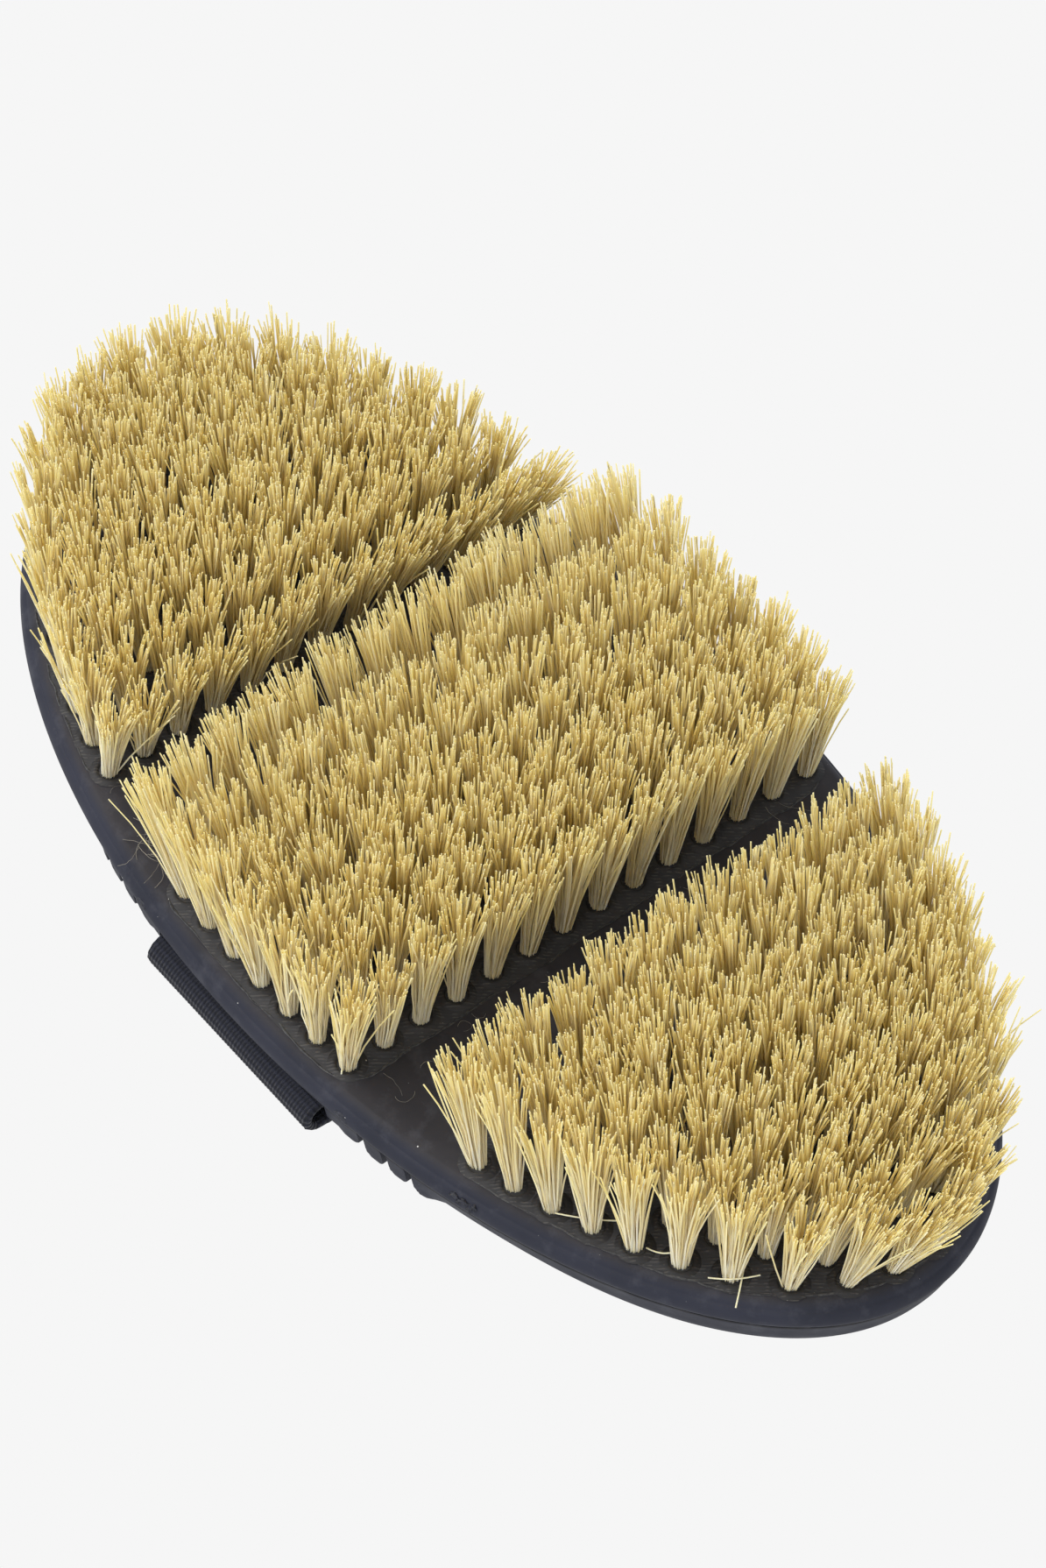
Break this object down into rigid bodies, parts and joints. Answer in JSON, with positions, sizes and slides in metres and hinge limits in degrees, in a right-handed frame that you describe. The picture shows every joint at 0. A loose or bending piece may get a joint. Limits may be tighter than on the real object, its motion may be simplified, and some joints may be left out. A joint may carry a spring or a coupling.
{
  "type": "flexible horse body brush",
  "caption": "Oval grooming brush with a flexible rubber back in three hinged sections, tufts of pale bristle and a webbing hand strap.",
  "frame": {"origin": "centre of the brush on the plane it lies on, back down and bristles up", "axes": "+X along the brush from toe to heel, +Y across it, +Z the way the bristles point"},
  "size_m": [0.21, 0.1078, 0.0485],
  "materials": {
    "rubber": "matt moulded, faintly dusty",
    "plate": "fine hatched tool marks",
    "bristle": "pale straw bristle with cut tips",
    "webbing": "ribbed woven webbing",
    "hook_and_loop": "hook and loop pile",
    "steel": "plain wire"
  },
  "bodies": {
    "middle_section": {"rubber_middle": "rubber", "tuft_plate_middle": "plate", "bristle_row_middle_1": "bristle", "bristle_row_middle_2": "bristle", "bristle_row_middle_3": "bristle", "bristle_row_middle_4": "bristle", "bristle_row_middle_5": "bristle", "bristle_row_middle_6": "bristle", "bristle_row_middle_7": "bristle", "strap_near_half": "webbing", "strap_far_anchor": "webbing", "loop_patch": "hook_and_loop", "strap_bar_near": "steel", "strap_bar_far": "steel"},
    "toe_section": {"rubber_toe": "rubber", "tuft_plate_toe": "plate", "bristle_row_toe_1": "bristle", "bristle_row_toe_2": "bristle", "bristle_row_toe_3": "bristle", "bristle_row_toe_4": "bristle", "bristle_row_toe_5": "bristle", "bristle_row_toe_6": "bristle", "bristle_row_toe_7": "bristle", "bristle_row_toe_8": "bristle", "bristle_row_toe_9": "bristle"},
    "heel_section": {"rubber_heel": "rubber", "tuft_plate_heel": "plate", "bristle_row_heel_1": "bristle", "bristle_row_heel_2": "bristle", "bristle_row_heel_3": "bristle", "bristle_row_heel_4": "bristle", "bristle_row_heel_5": "bristle", "bristle_row_heel_6": "bristle", "bristle_row_heel_7": "bristle", "bristle_row_heel_8": "bristle", "bristle_row_heel_9": "bristle"},
    "strap_flap": {"strap_far_flap": "webbing", "hook_patch": "hook_and_loop"}
  },
  "joints": [
    {"name": "toe_flex", "type": "hinge", "parent": "middle_section", "child": "toe_section", "pos_m": [-0.0337, 0, 0.0165], "axis": [0, 1, 0], "range_deg": [-12, 22], "stiffness_Nm_per_rad": 1},
    {"name": "heel_flex", "type": "hinge", "parent": "middle_section", "child": "heel_section", "pos_m": [0.0337, 0, 0.0165], "axis": [0, -1, 0], "range_deg": [-12, 22], "stiffness_Nm_per_rad": 1},
    {"name": "strap_release", "type": "hinge", "parent": "middle_section", "child": "strap_flap", "pos_m": [0, 0.0467, 0.0067], "axis": [1, 0, 0], "range_deg": [0, 88]}
  ]
}
